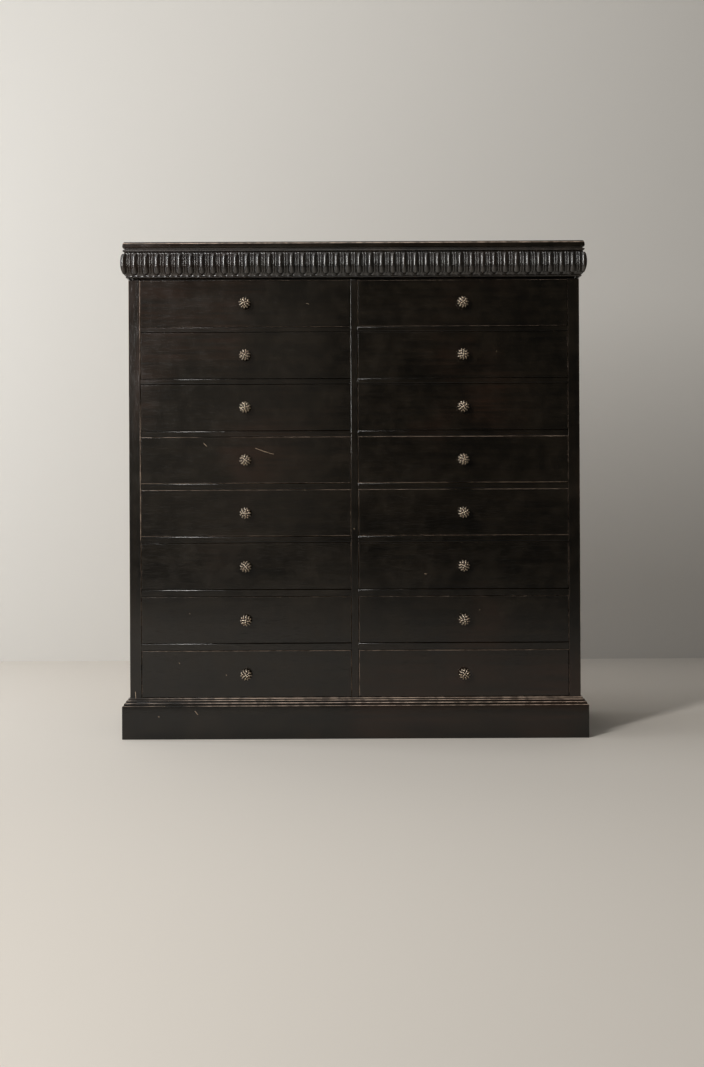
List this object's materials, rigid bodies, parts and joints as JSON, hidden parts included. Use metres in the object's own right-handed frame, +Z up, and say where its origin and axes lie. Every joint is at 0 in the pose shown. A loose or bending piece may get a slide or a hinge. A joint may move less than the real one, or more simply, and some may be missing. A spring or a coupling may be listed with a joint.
{
  "type": "bank of drawers",
  "caption": "Ebonised wooden bank of drawers in two banks of equal flush drawers with cast knobs, a moulded top over a gadroon frieze, and a moulded plinth.",
  "frame": {"origin": "on the floor under the middle of the bounding box, knobs included", "axes": "+Z up, -Y towards the user in front of the drawers, +X to the user's right"},
  "size_m": [1.221, 0.4736, 1.3],
  "materials": {
    "ebonised_wood": "black stained and waxed wood, semi-matt, worn brown on its arrises",
    "bare_pine": "bare old pine, unpolished, darkened with age",
    "aged_bronze": "cast brass toned to bronze, bright on the high points"
  },
  "bodies": {
    "carcass": {"side_left": "ebonised_wood", "side_right": "ebonised_wood", "back_boards": "bare_pine", "divider_grid": "ebonised_wood", "bottom_board": "ebonised_wood", "top_board": "ebonised_wood", "gadroon_front": "ebonised_wood", "gadroon_left": "ebonised_wood", "gadroon_right": "ebonised_wood", "plinth_front": "ebonised_wood", "plinth_left": "ebonised_wood", "plinth_right": "ebonised_wood"},
    "drawer_left_1": {"drawer_front_left_1": "ebonised_wood", "drawer_box_left_1": "bare_pine", "knob_left_1": "aged_bronze"},
    "drawer_left_2": {"drawer_front_left_2": "ebonised_wood", "drawer_box_left_2": "bare_pine", "knob_left_2": "aged_bronze"},
    "drawer_left_3": {"drawer_front_left_3": "ebonised_wood", "drawer_box_left_3": "bare_pine", "knob_left_3": "aged_bronze"},
    "drawer_left_4": {"drawer_front_left_4": "ebonised_wood", "drawer_box_left_4": "bare_pine", "knob_left_4": "aged_bronze"},
    "drawer_left_5": {"drawer_front_left_5": "ebonised_wood", "drawer_box_left_5": "bare_pine", "knob_left_5": "aged_bronze"},
    "drawer_left_6": {"drawer_front_left_6": "ebonised_wood", "drawer_box_left_6": "bare_pine", "knob_left_6": "aged_bronze"},
    "drawer_left_7": {"drawer_front_left_7": "ebonised_wood", "drawer_box_left_7": "bare_pine", "knob_left_7": "aged_bronze"},
    "drawer_left_8": {"drawer_front_left_8": "ebonised_wood", "drawer_box_left_8": "bare_pine", "knob_left_8": "aged_bronze"},
    "drawer_right_1": {"drawer_front_right_1": "ebonised_wood", "drawer_box_right_1": "bare_pine", "knob_right_1": "aged_bronze"},
    "drawer_right_2": {"drawer_front_right_2": "ebonised_wood", "drawer_box_right_2": "bare_pine", "knob_right_2": "aged_bronze"},
    "drawer_right_3": {"drawer_front_right_3": "ebonised_wood", "drawer_box_right_3": "bare_pine", "knob_right_3": "aged_bronze"},
    "drawer_right_4": {"drawer_front_right_4": "ebonised_wood", "drawer_box_right_4": "bare_pine", "knob_right_4": "aged_bronze"},
    "drawer_right_5": {"drawer_front_right_5": "ebonised_wood", "drawer_box_right_5": "bare_pine", "knob_right_5": "aged_bronze"},
    "drawer_right_6": {"drawer_front_right_6": "ebonised_wood", "drawer_box_right_6": "bare_pine", "knob_right_6": "aged_bronze"},
    "drawer_right_7": {"drawer_front_right_7": "ebonised_wood", "drawer_box_right_7": "bare_pine", "knob_right_7": "aged_bronze"},
    "drawer_right_8": {"drawer_front_right_8": "ebonised_wood", "drawer_box_right_8": "bare_pine", "knob_right_8": "aged_bronze"}
  },
  "joints": [
    {"name": "drawer_left_1_slide", "type": "slide", "parent": "carcass", "child": "drawer_left_1", "axis": [0, -1, 0], "range_m": [0, 0.3]},
    {"name": "drawer_left_2_slide", "type": "slide", "parent": "carcass", "child": "drawer_left_2", "axis": [0, -1, 0], "range_m": [0, 0.3]},
    {"name": "drawer_left_3_slide", "type": "slide", "parent": "carcass", "child": "drawer_left_3", "axis": [0, -1, 0], "range_m": [0, 0.3]},
    {"name": "drawer_left_4_slide", "type": "slide", "parent": "carcass", "child": "drawer_left_4", "axis": [0, -1, 0], "range_m": [0, 0.3]},
    {"name": "drawer_left_5_slide", "type": "slide", "parent": "carcass", "child": "drawer_left_5", "axis": [0, -1, 0], "range_m": [0, 0.3]},
    {"name": "drawer_left_6_slide", "type": "slide", "parent": "carcass", "child": "drawer_left_6", "axis": [0, -1, 0], "range_m": [0, 0.3]},
    {"name": "drawer_left_7_slide", "type": "slide", "parent": "carcass", "child": "drawer_left_7", "axis": [0, -1, 0], "range_m": [0, 0.3]},
    {"name": "drawer_left_8_slide", "type": "slide", "parent": "carcass", "child": "drawer_left_8", "axis": [0, -1, 0], "range_m": [0, 0.3]},
    {"name": "drawer_right_1_slide", "type": "slide", "parent": "carcass", "child": "drawer_right_1", "axis": [0, -1, 0], "range_m": [0, 0.3]},
    {"name": "drawer_right_2_slide", "type": "slide", "parent": "carcass", "child": "drawer_right_2", "axis": [0, -1, 0], "range_m": [0, 0.3]},
    {"name": "drawer_right_3_slide", "type": "slide", "parent": "carcass", "child": "drawer_right_3", "axis": [0, -1, 0], "range_m": [0, 0.3]},
    {"name": "drawer_right_4_slide", "type": "slide", "parent": "carcass", "child": "drawer_right_4", "axis": [0, -1, 0], "range_m": [0, 0.3]},
    {"name": "drawer_right_5_slide", "type": "slide", "parent": "carcass", "child": "drawer_right_5", "axis": [0, -1, 0], "range_m": [0, 0.3]},
    {"name": "drawer_right_6_slide", "type": "slide", "parent": "carcass", "child": "drawer_right_6", "axis": [0, -1, 0], "range_m": [0, 0.3]},
    {"name": "drawer_right_7_slide", "type": "slide", "parent": "carcass", "child": "drawer_right_7", "axis": [0, -1, 0], "range_m": [0, 0.3]},
    {"name": "drawer_right_8_slide", "type": "slide", "parent": "carcass", "child": "drawer_right_8", "axis": [0, -1, 0], "range_m": [0, 0.3]}
  ]
}
